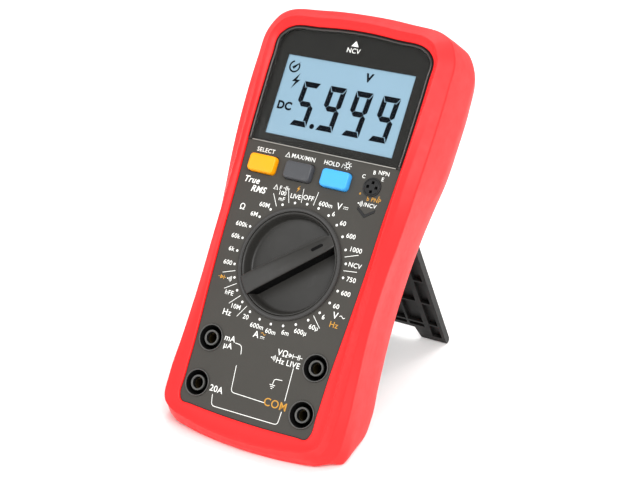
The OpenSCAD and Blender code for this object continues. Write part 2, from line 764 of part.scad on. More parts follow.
// ---- tilt stand ----
// The stand turns about x through its own origin, and lies along -y when it is closed
module stand_shape(length) {
    foot_in = 15.8;
    foot_out = 17.4;
    notch = 6.6;
    half = stand_w / 2;
    taper = 0.6;
    rib = 1.1;
    column = 8.8;                    // distance between ribs
    rows = [8, 25.2, 41.7, 58.2];    // upper ends of the pockets
    pocket = 1.7;                    // depth of a pocket
    difference() {
        union() {
            translate([-half, 0, 0]) rotate([0, 90, 0]) cylinder(r = stand_r, h = stand_w);
            translate([0, 0, -stand_r]) linear_extrude(stand_t) polygon([
                [half, 0], [half - taper, -length], [foot_out, -length], [foot_in, -length + notch],
                [-foot_in, -length + notch], [-foot_out, -length], [-half + taper, -length], [-half, 0]]);
            // Rounded foot tips
            for (sx = [-1, 1]) translate([sx * (foot_out + half - taper) / 2, -length, 0])
                rotate([0, 90, 0]) cylinder(r = stand_r, h = half - taper - foot_out, center = true);
            // Heel that meets the case and stops the stand when it is open
            rotate([-stand_open, 0, 0]) translate([-11, 0, 0]) rotate([90, 0, 90]) linear_extrude(22)
                polygon([[0, -stand_r + 0.4], [3.6, 1], [3.6, back_z - hinge_z - gap], [-0.8, 2.6]]);
        }
        // Pockets between the ribs on the inner side
        for (i = [-3:3], j = [0:3]) {
            w = abs(i) == 3 ? 4.6 : column - rib;
            x = abs(i) == 3 ? sign(i) * 26.5 : i * column;
            low = rows[j];
            high = j < 3 ? rows[j + 1] - rib : length - (abs(i) < 3 ? notch + 2 : 2.6);
            box([w, high - low, 2 * pocket], [x, -(high + low) / 2, stand_r]);
        }
        // Slots that clear the ears
        for (sx = [-1, 1]) box([ear_w + 0.4, 9.4, 2 * stand_t], [sx * ear_x, 0, 0]);
    }
    // Hinge pins
    for (sx = [-1, 1]) translate([sx * ear_x, 0, 0])
        rotate([0, 90, 0]) cylinder(r = pin_r, h = ear_w + 1, center = true);
}

module tilt_stand() {
    hinge_height = dial_height + hinge_y * sin(lean) + hinge_z * cos(lean);
    length = (hinge_height - stand_r) / cos(stand_open - (90 - lean));
    color("#262524") meter() translate([0, hinge_y, hinge_z]) rotate([stand_open, 0, 0])
        stand_shape(length);
}

holster();
front_case();
back_case();
face_label();
window_lens();
window_mask();
lcd_glass();
lcd_frame();
backlight_guide();
zebra_strips();
main_pcb();
measuring_chip();
small_chips();
crystal();
electrolytic_caps();
thermistors();
trimmer();
buzzer();
ncv_antenna();
indicator_led();
ncv_window();
hfe_socket();
hfe_contacts();
jack_sleeves();
jack_contacts();
push_switches();
fuse_20a();
fuse_ma();
fuse_clips();
current_shunt();
pcb_screws();
case_screws();
batteries();
battery_springs();
battery_contacts();
battery_leads();
battery_door();
door_screw();
knob();
rotor();
rotor_clip();
wiper_contacts();
detent_balls();
detent_springs();
select_button();
select_plunger();
max_min_button();
max_min_plunger();
hold_button();
hold_plunger();
tilt_stand();
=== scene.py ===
import json
import math

import bmesh
import bpy
from mathutils import Matrix, Quaternion, Vector


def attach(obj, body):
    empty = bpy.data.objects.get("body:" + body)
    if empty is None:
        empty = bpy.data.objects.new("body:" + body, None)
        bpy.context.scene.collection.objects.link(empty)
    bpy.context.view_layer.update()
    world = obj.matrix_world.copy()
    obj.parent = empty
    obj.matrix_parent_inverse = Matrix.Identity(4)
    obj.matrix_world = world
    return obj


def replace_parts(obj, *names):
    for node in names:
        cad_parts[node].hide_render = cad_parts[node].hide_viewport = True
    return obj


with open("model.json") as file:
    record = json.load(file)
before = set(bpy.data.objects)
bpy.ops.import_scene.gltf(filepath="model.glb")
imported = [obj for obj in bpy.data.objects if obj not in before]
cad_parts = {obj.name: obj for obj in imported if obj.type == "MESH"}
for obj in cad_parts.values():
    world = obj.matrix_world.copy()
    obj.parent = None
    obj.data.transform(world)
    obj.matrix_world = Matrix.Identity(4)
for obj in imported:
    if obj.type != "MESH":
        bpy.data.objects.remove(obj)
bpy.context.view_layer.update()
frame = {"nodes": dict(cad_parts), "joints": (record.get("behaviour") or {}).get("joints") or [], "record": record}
record = frame["record"]
scene = bpy.context.scene
scene.view_settings.view_transform = "Standard"

MM = 0.001
turn = next(j for j in frame["joints"] if j["name"] == "selector_turn")
FACE_OUT = Vector(turn["axis"]).normalized()
FACE_UP = FACE_OUT.cross(Vector((1, 0, 0)))
DIAL = Vector(turn["pos_m"])
AXES = Matrix((Vector((1, 0, 0)), FACE_UP, FACE_OUT)).transposed().to_4x4()
LOCAL = Matrix.Translation(DIAL) @ AXES @ Matrix.Scale(MM, 4)
TO_LOCAL = LOCAL.inverted()


# ---------------------------------------------------------------- materials
def linear(rgb):
    """An sRGB colour of 0 to 255 as linear light."""
    return tuple(c / 255 / 12.92 if c <= 10 else ((c / 255 + 0.055) / 1.055) ** 2.4 for c in rgb)


def tint(rgb, share):
    return tuple(min(1.0, c * share) for c in rgb)


class Nodes:
    """A small helper that adds and joins shader nodes."""

    def __init__(self, name):
        self.material = bpy.data.materials.new(name)
        self.material.use_nodes = True
        self.tree = self.material.node_tree
        self.tree.nodes.clear()
        self.output = self.add("ShaderNodeOutputMaterial")
        self.place = self.add("ShaderNodeTexCoord").outputs["Object"]

    def add(self, kind, **settings):
        node = self.tree.nodes.new(kind)
        for key, value in settings.items():
            setattr(node, key, value)
        return node

    def join(self, a, b):
        self.tree.links.new(a, b)

    def noise(self, scale, detail=2.0, rough=0.5, stretch=None):
        node = self.add("ShaderNodeTexNoise")
        node.inputs["Scale"].default_value = scale
        node.inputs["Detail"].default_value = detail
        node.inputs["Roughness"].default_value = rough
        place = self.place
        if stretch:
            mapping = self.add("ShaderNodeMapping")
            mapping.inputs["Scale"].default_value = stretch
            self.join(self.place, mapping.inputs["Vector"])
            place = mapping.outputs["Vector"]
        self.join(place, node.inputs["Vector"])
        return node.outputs["Fac"]

    def ramp(self, value, low, high, out_low, out_high):
        node = self.add("ShaderNodeMapRange")
        for key, number in zip(("From Min", "From Max", "To Min", "To Max"),
                               (low, high, out_low, out_high)):
            node.inputs[key].default_value = number
        self.join(value, node.inputs["Value"])
        return node.outputs["Result"]

    def blend(self, factor, a, b):
        node = self.add("ShaderNodeMix", data_type="RGBA")
        self.join(factor, node.inputs["Factor"])
        for socket, value in ((node.inputs[6], a), (node.inputs[7], b)):
            if isinstance(value, tuple):
                socket.default_value = (*value, 1)
            else:
                self.join(value, socket)
        return node.outputs[2]

    def bump(self, height, depth):
        node = self.add("ShaderNodeBump")
        node.inputs["Strength"].default_value = 1.0
        node.inputs["Distance"].default_value = depth
        self.join(height, node.inputs["Height"])
        return node.outputs["Normal"]


def plastic(name, rgb, rough=0.5, grain=0.35, depth=0.008, spread=0.05, wear=0.12, metal=0.0,
            specular=0.28, coat=0.0):
    """Moulded plastic, rubber, film or metal. grain and depth are its texture's size and height in mm."""
    n = Nodes(name)
    shader = n.add("ShaderNodeBsdfPrincipled")
    base = linear(rgb)
    blotches = n.ramp(n.noise(60, 3), 0.3, 0.7, 0, 1)
    color = n.blend(blotches, tint(base, 1 - spread), tint(base, 1 + spread))
    pale = tuple(c + (1 - c) * 0.12 for c in base)
    scuffs = n.ramp(n.noise(130, 6, 0.75, (1, 1, 0.35)), 0.6, 0.74, 0, wear)
    color = n.blend(scuffs, color, pale)
    n.join(color, shader.inputs["Base Color"])
    streaks = n.noise(260, 5, 0.6)
    n.join(n.ramp(streaks, 0.25, 0.75, rough - 0.05, rough + 0.05), shader.inputs["Roughness"])
    height = n.noise(1000 / grain, 2)
    n.join(n.bump(height, depth * MM), shader.inputs["Normal"])
    shader.inputs["Metallic"].default_value = metal
    shader.inputs["Specular IOR Level"].default_value = 0.5 if metal else specular
    shader.inputs["Coat Weight"].default_value = coat
    shader.inputs["Coat Roughness"].default_value = 0.15
    n.join(shader.outputs[0], n.output.inputs["Surface"])
    return n.material


def clear(name, tone, rough=0.04):
    """Clear acrylic: it lets light through and mirrors the room faintly, with a few hazy smudges."""
    n = Nodes(name)
    through = n.add("ShaderNodeBsdfTransparent")
    through.inputs["Color"].default_value = (*tone, 1)
    mirror = n.add("ShaderNodeBsdfGlossy")
    n.join(n.ramp(n.noise(140, 5, 0.65), 0.45, 0.7, rough, rough + 0.12), mirror.inputs["Roughness"])
    n.join(n.bump(n.noise(60, 1), 0.004 * MM), mirror.inputs["Normal"])
    fresnel = n.add("ShaderNodeFresnel")
    fresnel.inputs["IOR"].default_value = 1.1
    both = n.add("ShaderNodeMixShader")
    n.join(fresnel.outputs[0], both.inputs[0])
    n.join(through.outputs[0], both.inputs[1])
    n.join(mirror.outputs[0], both.inputs[2])
    n.join(both.outputs[0], n.output.inputs["Surface"])
    return n.material


RUBBER = plastic("red_rubber", (244, 29, 30), 0.5, 0.25, 0.006, 0.03, 0.04, specular=0.3)
CASE = plastic("case_grey", (44, 42, 40), 0.5, 0.3, 0.01)
PANEL = plastic("panel_film", (60, 58, 54), 0.55, 0.16, 0.005, 0.03, 0.06, specular=0.2)
MASK = plastic("mask_black", (32, 31, 29), 0.5, 0.2, 0.004, 0.03, 0.05, specular=0.15)
DARK = plastic("dark_plastic", (26, 26, 26), 0.42, 0.3, 0.006)
KNOB = plastic("knob_black", (42, 41, 39), 0.42, 0.22, 0.004, 0.04, 0.08, specular=0.3)
STAND = plastic("stand_black", (20, 19, 18), 0.5, 0.3, 0.008, 0.06, 0.12)
JACK = plastic("jack_sleeve", (70, 70, 68), 0.34, 0.3, 0.004, specular=0.4)
# Near-black painted shade, laid in the jack wells, along the grip's sides, in the pointer slot and in the gap
# round the window
SHADE_BLACK = plastic("painted_shade_black", (12, 12, 12), 0.6, 0.3, 0.006, 0.05, 0.03, specular=0.05)
YELLOW = plastic("button_yellow", (240, 154, 0), 0.4, 0.3, 0.004, 0.03, 0.05)
GREY = plastic("button_grey", (66, 67, 70), 0.42, 0.3, 0.005, 0.04, 0.08)
BLUE = plastic("button_blue", (62, 158, 226), 0.4, 0.3, 0.004, 0.03, 0.05)
WHITE_INK = plastic("white_ink", (232, 232, 228), 0.5, 0.1, 0.002, 0.03, 0.02)
AMBER_INK = plastic("amber_ink", (186, 134, 48), 0.5, 0.1, 0.002, 0.04, 0.02)
LCD = plastic("lcd_panel", (134, 162, 180), 0.4, 2.0, 0.001, 0.015, 0.02, specular=0.15)
SEGMENT = plastic("lcd_segment", (6, 11, 18), 0.5, 1.0, 0.001, 0.05, 0.02, specular=0.05)
LENS = clear("clear_window", (0.985, 0.99, 0.99))
SLOT_LOOKS = {
    "red_rubber": RUBBER, "case_grey": CASE, "panel_grey": PANEL, "dark_plastic": DARK,
    "knob_black": KNOB, "clear_window": LENS, "display_glass": LCD, "stand_black": STAND,
    "button_yellow": YELLOW, "button_grey": GREY, "button_blue": BLUE,
    "white_plastic": plastic("white_plastic", (225, 226, 222), 0.4),
    "rotor_nylon": plastic("rotor_nylon", (214, 208, 190), 0.5),
    "pink_elastomer": plastic("pink_elastomer", (214, 138, 160), 0.6, 0.18, 0.02, 0.1),
    "board_green": plastic("board_green", (44, 110, 60), 0.35, 0.8, 0.02, 0.2, coat=0.4),
    "chip_black": plastic("chip_black", (30, 30, 32), 0.55, 0.12, 0.01, 0.12),
    "sleeve_blue": plastic("sleeve_blue", (38, 52, 84), 0.3, 0.6),
    "disc_orange": plastic("disc_orange", (190, 118, 46), 0.35, 0.9, 0.03, 0.1),
    "trimmer_blue": plastic("trimmer_blue", (40, 96, 168), 0.4, 0.5),
    "led_red": plastic("led_red", (214, 60, 46), 0.15, 0.9, 0.004, coat=0.5),
    "copper": plastic("copper", (205, 130, 84), 0.32, 0.2, 0.01, 0.12, metal=1.0),
    "contact_brass": plastic("contact_brass", (92, 80, 54), 0.5, 0.15, 0.008, 0.1, metal=1.0),
    "spring_steel": plastic("spring_steel", (190, 193, 196), 0.28, 0.12, 0.008, 0.12, metal=1.0),
    "fuse_ceramic": plastic("fuse_ceramic", (226, 222, 206), 0.35, 0.5),
    "fuse_glass": plastic("fuse_glass", (208, 218, 222), 0.12, 0.8, 0.004, coat=0.6),
    "shunt_wire": plastic("shunt_wire", (176, 146, 104), 0.34, 0.12, 0.01, 0.14, metal=1.0),
    "cell_wrap": plastic("cell_wrap", (64, 74, 82), 0.28, 0.4, 0.008, 0.15, coat=0.4),
    "lead_red": plastic("lead_red", (176, 42, 34), 0.4, 0.4),
}
slot_of = {part["node"]: part["material_slot"] for part in record["subparts"]}


# ---------------------------------------------------------------- mesh tools
def piece(name, verts, faces, look, slot, body="meter", smooth=32.0, place=LOCAL):
    """A mesh from points in the meter's own millimetres, riding on a body."""
    mesh = bpy.data.meshes.new(name)
    mesh.from_pydata([place @ Vector(v) for v in verts], [], faces)
    mesh.materials.append(look)
    work = bmesh.new()
    work.from_mesh(mesh)
    bmesh.ops.recalc_face_normals(work, faces=work.faces[:])
    work.to_mesh(mesh)
    work.free()
    mesh.shade_smooth()
    mesh.set_sharp_from_angle(angle=math.radians(smooth))
    obj = bpy.data.objects.new(name, mesh)
    scene.collection.objects.link(obj)
    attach(obj, body)
    return obj


def joined(parts):
    """Several (verts, faces) as one."""
    verts, faces = [], []
    for more_verts, more_faces in parts:
        start = len(verts)
        verts += more_verts
        faces += [[i + start for i in face] for face in more_faces]
    return verts, faces


def loft(loops, around=True, wrap=False, caps=True):
    """Joins loops of equal length. around closes each loop, wrap joins the last to the first."""
    n, m = len(loops[0]), len(loops)
    verts = [p for loop in loops for p in loop]
    faces = []
    for j in range(m if wrap else m - 1):
        for i in range(n if around else n - 1):
            a, b = j * n + i, j * n + (i + 1) % n
            k = ((j + 1) % m) * n
            faces.append([a, b, k + (i + 1) % n, k + i])
    if caps and not wrap:
        faces += [list(range(n))[::-1], list(range((m - 1) * n, m * n))]
    return verts, faces


def revolve(profile, centre=(0, 0), steps=96):
    """Turns (radius, z) points about an axis along z. A radius of 0 closes to a point."""
    verts, faces, rows = [], [], []
    for r, z in profile:
        if r == 0:
            rows.append([len(verts)] * steps)
            verts.append((centre[0], centre[1], z))
        else:
            rows.append(list(range(len(verts), len(verts) + steps)))
            verts += [(centre[0] + r * math.cos(a), centre[1] + r * math.sin(a), z)
                      for a in (2 * math.pi * i / steps for i in range(steps))]
    for low, high in zip(rows, rows[1:]):
        for i in range(steps):
            k = (i + 1) % steps
            face = list(dict.fromkeys([low[i], low[k], high[k], high[i]]))
            if len(face) > 2:
                faces.append(face)
    return verts, faces


def rounded(w, h, r, steps=8):
    """Points of a rounded rectangle, counterclockwise from the lower right corner."""
    points = []
    for cx, cy, start in ((w / 2 - r, -h / 2 + r, -90), (w / 2 - r, h / 2 - r, 0),
                          (-w / 2 + r, h / 2 - r, 90), (-w / 2 + r, -h / 2 + r, 180)):
        for k in range(steps + 1):
            a = math.radians(start + 90 * k / steps)
            points.append((cx + r * math.cos(a), cy + r * math.sin(a)))
    return points


def soften(obj, width, segments, angle):
    """Rounds an object's sharp edges, by a width in mm."""
    bevel = obj.modifiers.new("rounded_edges", "BEVEL")
    bevel.width = width * MM
    bevel.segments = segments
    bevel.limit_method = "ANGLE"
    bevel.angle_limit = math.radians(angle)
    bevel.harden_normals = True


# ---------------------------------------------------------------- holster
# Half outlines, from the bottom middle round the right side to the top middle
SPANS = 4
OPENING = [(0, -65.8), (25.6, -65), (29.8, -64.7), (30.7, -63.8), (31.5, -55), (31.9, -40),
           (33.3, -17), (34.4, 5), (35, 25), (35.8, 40), (36.3, 50), (36.7, 66), (36.8, 84),
           (36.4, 92.2), (33, 96), (18, 98.2), (0, 99.2)]
CREST = [(0, -73.2, 2.4), (25.4, -70.8, 2.4), (31.5, -69.4, 2.4), (36.2, -66.4, 2.4),
         (37.7, -56, 2.4), (37.2, -40, 2.4), (36.8, -17, 2.5), (37.2, 5, 2.6), (37.4, 25, 2.7),
         (37.7, 40, 2.8), (38.1, 50, 2.8), (38.6, 66, 2.8), (39.3, 84, 2.8), (38.9, 92.8, 2.8),
         (34.8, 98.8, 2.8), (18.5, 101.4, 2.8), (0, 102.4, 2.8)]
STEP = [(0, -75.2, -0.8), (26, -73, -1.6), (32.5, -71.8, -2), (37.4, -67, -3), (38.9, -56.5, -3),
        (38.4, -40, -3), (38, -17, -1.8), (38.4, 5, -0.6), (39.2, 25, 0), (39.6, 40, 0.4),
        (40.2, 50, 0.5), (41.4, 66, 0.5), (42, 84, 0.5), (41.4, 94, 0.5), (36.8, 100.9, 0.5),
        (19.4, 103.5, 0.5), (0, 104.5, 0.5)]
SHOULDER = [(0, -76.4, -4.6), (27.6, -74.7, -6.9), (34, -73.4, -7.4), (40.2, -69, -7.8),
            (42.2, -57, -6.4), (41.4, -40, -6), (40.4, -17, -5.2), (41, 5, -4.8), (42.6, 25, -4),
            (43.8, 40, -2.8), (44.4, 50, -2.3), (45, 66, -2), (45, 83, -2), (44.4, 94.2, -2),
            (39.4, 102.7, -2), (20.6, 106.3, -2), (0, 107.2, -2)]
HEEL = [(0, -71.1, -12.8), (28, -71, -13), (35, -71, -13), (41.6, -70.3, -13.6),
        (42.2, -58, -13.6), (40.6, -40, -13.4), (39.2, -17, -13), (39.4, 5, -12.9),
        (41.4, 25, -12.4), (43.1, 40, -11.7), (44.2, 50, -11.4), (44.9, 66, -11.2),
        (45, 83.4, -11.2), (44.1, 95.2, -11.2), (39, 103.6, -11.2), (20.6, 106.6, -11.2),
        (0, 107.4, -11.2)]
FLANK = [(0, -62.7), (28, -62.7), (34, -62.7), (40, -62.1), (40.4, -56), (39, -40), (37.9, -17),
         (38, 5), (39.4, 25), (41.6, 40), (43.5, 50), (44.4, 66), (44.7, 84), (43.6, 96.6),
         (38.2, 104.6), (20.6, 107), (0, 107.6)]
BACK = [(0, -50.8), (20, -50.8), (26, -50.8), (32, -50.1), (33.4, -46), (32.8, -36), (31.4, -17),
        (31.2, 5), (32.2, 25), (33.6, 40), (34.6, 50), (35.2, 66), (34.8, 82), (32.8, 91.2),
        (26.5, 97), (14, 99.4), (0, 100.2)]
FLANK_Z, BACK_Z = -25.0, -42.2


def smooth_loop(half, z=None):
    """A smooth closed loop through the mirrored points of a half outline."""
    points = [Vector((p[0], p[1], z if z is not None else p[2])) for p in half]
    points += [Vector((-p.x, p.y, p.z)) for p in points[-2:0:-1]]
    m, out = len(points), []

    def chord(p, q):
        return max((q - p).length, 0.001)

    def tangent(p, q, r):
        h, k = chord(p, q), chord(q, r)
        return ((q - p) * (k / h) + (r - q) * (h / k)) / (h + k)

    for i in range(m):
        a, b, c, d = points[i - 1], points[i], points[(i + 1) % m], points[(i + 2) % m]
        h = chord(b, c)
        ta, tb = tangent(a, b, c) * h, tangent(b, c, d) * h
        for k in range(SPANS):
            t = k / SPANS
            out.append((2 * t**3 - 3 * t**2 + 1) * b + (t**3 - 2 * t**2 + t) * ta
                       + (3 * t**2 - 2 * t**3) * c + (t**3 - t**2) * tb)
    return out


def at_z(loop, z):
    """A loop laid flat at a depth."""
    return [Vector((p.x, p.y, z)) for p in loop]


def outset(loop, d):
    """A loop moved outwards in plan."""
    m, out = len(loop), []
    for i, p in enumerate(loop):
        t = loop[(i + 1) % m] - loop[i - 1]
        out.append(p + Vector((t.y, -t.x, 0)) * (d / math.hypot(t.x, t.y)))
    return out


def shrink(loop, d):
    """A loop drawn in towards its middle by about a distance."""
    low, high = min(p.y for p in loop), max(p.y for p in loop)
    mid, half_h, half_w = (low + high) / 2, (high - low) / 2, max(p.x for p in loop)
    return [Vector((p.x * (1 - d / half_w), mid + (p.y - mid) * (1 - d / half_h), p.z)) for p in loop]


def mixed(a, b, t, z_t=None):
    """A loop a share t of the way from a to b, with its own share z_t in depth."""
    out = []
    for p, q in zip(a, b):
        v = p.lerp(q, t)
        if z_t is not None:
            v.z = p.z + (q.z - p.z) * z_t
        out.append(v)
    return out


bench = TO_LOCAL @ Vector((0, 0, 0))
bench_dir = TO_LOCAL.to_3x3() @ Vector((0, 1, 0))


def bench_y(z):
    """Where the bench lies along y, at a depth z."""
    return bench.y + (z - bench.z) * bench_dir.y / bench_dir.z


def on_bench(loop, lift=0.0):
    """A loop whose points stay above the bench, or above a line over it."""
    return [Vector((p.x, max(p.y, bench_y(p.z) + lift), p.z)) for p in loop]


opening = smooth_loop(OPENING, 0.0)
crest = smooth_loop(CREST)
step = smooth_loop(STEP)
shoulder = smooth_loop(SHOULDER)
heel = smooth_loop(HEEL)
flank = smooth_loop(FLANK, FLANK_Z)
back_edge = smooth_loop(BACK, BACK_Z)
lip = shrink(back_edge, 4.2)
inner_wall = outset(opening, 2.2)
BENCH_WALL = 2.7
REBATE_Z = BACK_Z + 1.15
# Each ring of the holster with the sharpness of its crease, from the opening round the outside and in again
rings = [
    (at_z(opening, -0.35), 0.7), (at_z(outset(opening, 0.15), 0.75), 0.4),
    (mixed(outset(opening, 0.2), crest, 0.5, 0.5), 0.0),
    (mixed(outset(opening, 0.2), crest, 0.88), 0.0),
    (crest, 0.25), (mixed(crest, step, 0.3), 0.0), (mixed(crest, step, 0.8), 0.0), (step, 0.3),
    (mixed(step, shoulder, 0.25), 0.0), (mixed(step, shoulder, 0.8), 0.0), (shoulder, 0.3),
    (on_bench(mixed(shoulder, heel, 0.3)), 0.0), (on_bench(heel), 0.5),
    (on_bench(mixed(heel, flank, 0.8)), 0.0), (on_bench(flank), 0.1),
    (on_bench(mixed(flank, back_edge, 0.2, 0.4)), 0.0),
    (on_bench(mixed(flank, back_edge, 0.52, 0.76)), 0.0),
    (on_bench(mixed(flank, back_edge, 0.86, 0.96)), 0.0), (on_bench(back_edge), 0.3),
    (lip, 0.6), (at_z(lip, REBATE_Z), 0.6),
    (on_bench(at_z(shrink(back_edge, 2.2), REBATE_Z), BENCH_WALL), 0.9),
    (on_bench(at_z(inner_wall, -24), BENCH_WALL), 0.9),
    (at_z(inner_wall, -13), 0.9), (at_z(inner_wall, -0.35), 0.9),
]
count = len(rings[0][0])
holster = piece("rubber_holster", *loft([ring for ring, crease in rings], wrap=True), RUBBER, "red_rubber",
                smooth=180)
creases = holster.data.attributes.new("crease_edge", "FLOAT", "EDGE")
values = []
for edge in holster.data.edges:
    a, b = edge.vertices
    values.append(rings[a // count][1] if a // count == b // count else 0.0)
creases.data.foreach_set("value", values)
subdivide = holster.modifiers.new("subdivision", "SUBSURF")
subdivide.levels = subdivide.render_levels = 2
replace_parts(holster, "holster")


# ---------------------------------------------------------------- print
glyph_curve = bpy.data.curves.new("glyphs", "FONT")
glyph_curve.resolution_u = 4
glyph_object = bpy.data.objects.new("glyphs", glyph_curve)
scene.collection.objects.link(glyph_object)


def outline(words, bold=0.0, shear=0.0, spacing=1.0):
    """Flat letter shapes in the font's own units."""
    glyph_curve.body = words
    glyph_curve.offset = bold
    glyph_curve.shear = shear
    glyph_curve.space_character = spacing
    bpy.context.view_layer.update()
    mesh = glyph_object.evaluated_get(bpy.context.evaluated_depsgraph_get()).to_mesh()
    verts = [(v.co.x, v.co.y) for v in mesh.vertices]
    faces = [list(p.vertices) for p in mesh.polygons]
    glyph_object.to_mesh_clear()
    return verts, faces


CAP = max(v[1] for v in outline("H")[0])
PRINT_Z = 0.03
THIN, STROKE_W, THICK = 0.24, 0.26, 0.28


def text(words, x, y, cap, bold=0.008, shear=0.0, spacing=1.06, z=PRINT_Z):
    """Flat lettering with its middle at x, y."""
    verts, faces = outline(words, bold, shear, spacing)
    k = cap / CAP
    middle = (min(v[0] for v in verts) + max(v[0] for v in verts)) / 2
    return [(x + (vx - middle) * k, y + vy * k - cap / 2, z) for vx, vy in verts], faces


def line(points, w=STROKE_W, z=PRINT_Z):
    """A flat stroke through points, with mitred corners."""
    points = [Vector(p) for p in points]
    left, right = [], []
    for i, p in enumerate(points):
        before = (p - points[i - 1]).normalized() if i else (points[1] - p).normalized()
        after = (points[i + 1] - p).normalized() if i < len(points) - 1 else before
        along = (before + after).normalized()
        normal = Vector((-along.y, along.x)) / max(0.4, along.dot(before))
        left.append((*(p + normal * w / 2), z))
        right.append((*(p - normal * w / 2), z))
    n = len(points)
    return left + right, [[i, n + i, n + i + 1, i + 1] for i in range(n - 1)]


def delta(x, y, size):
    """A triangle drawn in outline."""
    corners = [(x - 0.5 * size, y - 0.45 * size), (x + 0.5 * size, y - 0.45 * size), (x, y + 0.5 * size)]
    return line(corners + corners[:2], STROKE_W)


def bent(points, r=1.6, steps=6):
    """Rounds the corners of a path."""
    points = [Vector(p) for p in points]
    out = [points[0]]
    for a, b, c in zip(points, points[1:], points[2:]):
        d0, d1 = (a - b), (c - b)
        k = min(r, d0.length * 0.45, d1.length * 0.45)
        p, q = b + d0.normalized() * k, b + d1.normalized() * k
        for i in range(steps + 1):
            t = i / steps
            out.append((1 - t) ** 2 * p + 2 * t * (1 - t) * b + t * t * q)
    return out + [points[-1]]


def arc(x, y, r, start, end, steps):
    """Points of an arc between two angles in degrees."""
    angles = [math.radians(start + (end - start) * k / steps) for k in range(steps + 1)]
    return [(x + r * math.cos(a), y + r * math.sin(a)) for a in angles]


def shape(points, z=PRINT_Z):
    """A flat filled shape."""
    return [(x, y, z) for x, y in points], [list(range(len(points)))]


def disc(x, y, r, z=PRINT_Z, steps=20):
    angles = [2 * math.pi * k / steps for k in range(steps)]
    return shape([(x + r * math.cos(a), y + r * math.sin(a)) for a in angles], z)


def sound(x, y, k):
    """Three waves that leave a dot."""
    start = x - 0.9 * k
    waves = [line(arc(start, y, r * k, -42, 42, 6), THIN * k) for r in (0.8, 1.35, 1.9)]
    return [disc(start, y, 0.32 * k)] + waves


def bolt(x, y, h, z=PRINT_Z):
    """A lightning bolt."""
    corners = ((0.16, 0.5), (-0.26, -0.06), (-0.02, -0.04), (-0.2, -0.5), (0.27, 0.1), (0.02, 0.07))
    return shape([(x + a * h, y + b * h) for a, b in corners], z)


def diode(x, y, k):
    reach = 0.8 * k
    return [
        line([(x - 1.7 * k, y), (x + 1.7 * k, y)], THIN),
        line([(x + reach, y - reach), (x + reach, y + reach)], THICK),
        shape([(x - reach, y - reach), (x + reach, y), (x - reach, y + reach)]),
    ]


def capacitor(x, y, k):
    leads = [line([(x + a * k, y), (x + b * k, y)], THIN) for a, b in ((-1.5, -0.3), (0.3, 1.5))]
    plates = [line([(x + a * k, y - 0.9 * k), (x + a * k, y + 0.9 * k)], THICK) for a in (-0.3, 0.3)]
    return leads + plates


def direct(x, y, k):
    """The direct current sign: a line over three dashes."""
    top, low = y + 0.32 * k, y - 0.3 * k
    dashes = [line([(x + (i * 0.7 - 0.2) * k, low), (x + (i * 0.7 + 0.2) * k, low)], THIN)
              for i in (-1, 0, 1)]
    return [line([(x - 0.95 * k, top), (x + 0.95 * k, top)], THIN)] + dashes


def wave(x, y, k):
    """The alternating current sign, one period of a sine."""
    return [line([(x + (t / 6 - 1) * k, y + 0.35 * k * math.sin(math.pi * t / 6)) for t in range(13)])]


DOT_R = 25.2
DOT_SIZE = 0.52
MARKS = 28
LABEL_CAP = 1.85
POINTED_AT = 4
# The lettering of each mark, clockwise from the top, and where its middle lies from the mark's dot
LABELS = [
    None, ("600m", 2.6, 2.2), ("6", 2.0, 1.1), ("60", 2.5, 1.3), ("600", 3.6, 1.0),
    ("1000", 4.6, 0.9), ("NCV", 4.2, 0.2), ("750", 3.7, 0.0), ("600", 3.8, -0.2), ("60", 3.2, -0.6),
    ("6", 2.1, -1.2), ("60µ", 3.2, -2.2), ("600µ", 2.9, -2.3), ("6m", 1.8, -2.4), ("60m", 0.8, -2.9),
    ("600m", -0.4, -2.9), ("20", -1.2, -2.4), ("10M", -2.2, -2.5), ("hFE", -3.2, -1.7), None,
    ("600", -3.3, 0.1), ("6k", -2.8, 0.3), ("60k", -3.3, 0.2), ("600k", -4.1, 0.2), ("6M", -2.9, 0.7),
    ("60M", -3.4, 1.3), None, None,
]
# Marks with a dividing line after them. The top four lines are longer.
DIVIDERS = (0, 5, 6, 10, 16, 17, 18, 19, 25, 26, 27)
TOP_DIVIDERS = (0, 25, 26, 27)


def bearing(i):
    """The angle of a mark on the dial."""
    return math.radians(90 - i * 360 / MARKS)


